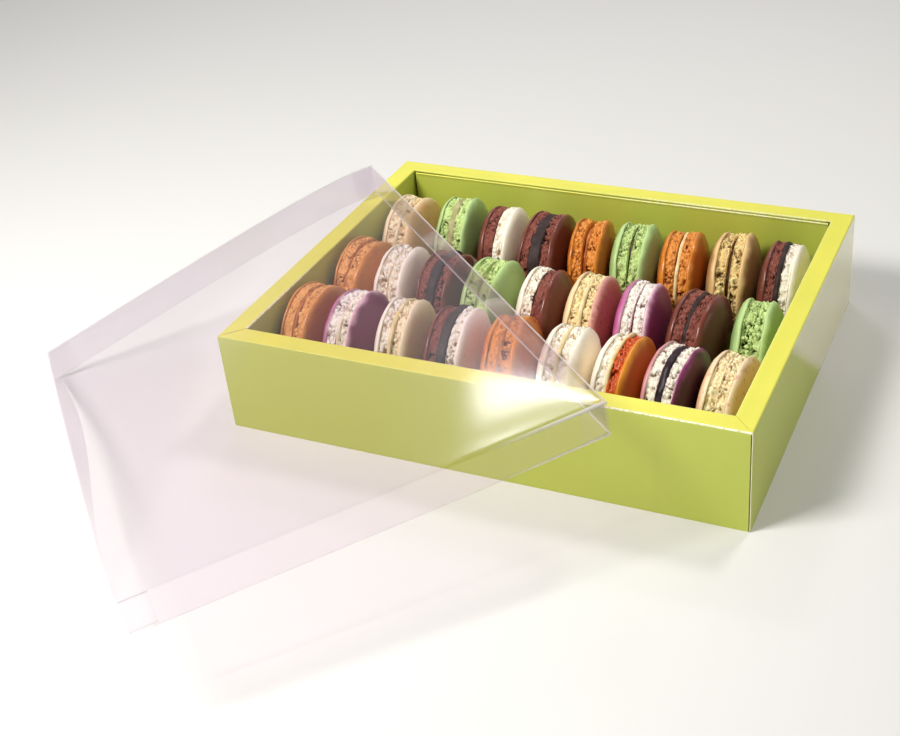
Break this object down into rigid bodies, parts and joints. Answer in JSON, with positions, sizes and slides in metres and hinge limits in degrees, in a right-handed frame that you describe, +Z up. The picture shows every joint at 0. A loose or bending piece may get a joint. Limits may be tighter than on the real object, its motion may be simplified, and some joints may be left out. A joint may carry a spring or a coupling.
{
  "type": "macaron box",
  "caption": "Open folded card tray with macarons standing on edge in rows, and its clear film lid lying askew across one corner.",
  "frame": {"origin": "middle of the tray's underside, on the surface that the tray stands on", "axes": "+X along the tray's front towards its right end, +Y towards its back, +Z up"},
  "size_m": [0.347, 0.3476, 0.0664],
  "materials": {
    "coated_card": "coated card, satin, lime green",
    "clear_film": "clear glossy film",
    "cream_macaron": "baked almond shell, satin on the domes and rough on the feet",
    "pistachio_macaron": "baked almond shell, satin on the domes and rough on the feet",
    "chocolate_and_white_macaron": "baked almond shell, satin on the domes and rough on the feet",
    "chocolate_macaron": "baked almond shell, satin on the domes and rough on the feet",
    "orange_macaron": "baked almond shell, satin on the domes and rough on the feet",
    "coffee_macaron": "baked almond shell, satin on the domes and rough on the feet",
    "white_and_chocolate_macaron": "baked almond shell, satin on the domes and rough on the feet",
    "peach_and_rose_macaron": "baked almond shell, satin on the domes and rough on the feet",
    "pink_macaron": "baked almond shell, satin on the domes and rough on the feet",
    "caramel_macaron": "baked almond shell, satin on the domes and rough on the feet",
    "purple_macaron": "baked almond shell, satin on the domes and rough on the feet",
    "white_and_orange_macaron": "baked almond shell, satin on the domes and rough on the feet",
    "rose_speckled_macaron": "baked almond shell, satin on the domes and rough on the feet"
  },
  "bodies": {
    "root": {"tray": "coated_card", "lid": "clear_film", "macaron_back_1": "cream_macaron", "macaron_back_2": "pistachio_macaron", "macaron_back_3": "chocolate_and_white_macaron", "macaron_back_4": "chocolate_macaron", "macaron_back_5": "orange_macaron", "macaron_back_6": "pistachio_macaron", "macaron_back_7": "orange_macaron", "macaron_back_8": "coffee_macaron", "macaron_back_9": "chocolate_and_white_macaron", "macaron_middle_1": "orange_macaron", "macaron_middle_2": "cream_macaron", "macaron_middle_3": "chocolate_macaron", "macaron_middle_4": "pistachio_macaron", "macaron_middle_5": "white_and_chocolate_macaron", "macaron_middle_6": "peach_and_rose_macaron", "macaron_middle_7": "pink_macaron", "macaron_middle_8": "chocolate_macaron", "macaron_middle_9": "pistachio_macaron", "macaron_front_1": "caramel_macaron", "macaron_front_2": "purple_macaron", "macaron_front_3": "cream_macaron", "macaron_front_4": "chocolate_and_white_macaron", "macaron_front_5": "orange_macaron", "macaron_front_6": "cream_macaron", "macaron_front_7": "white_and_orange_macaron", "macaron_front_8": "purple_macaron", "macaron_front_9": "rose_speckled_macaron"}
  },
  "joints": []
}
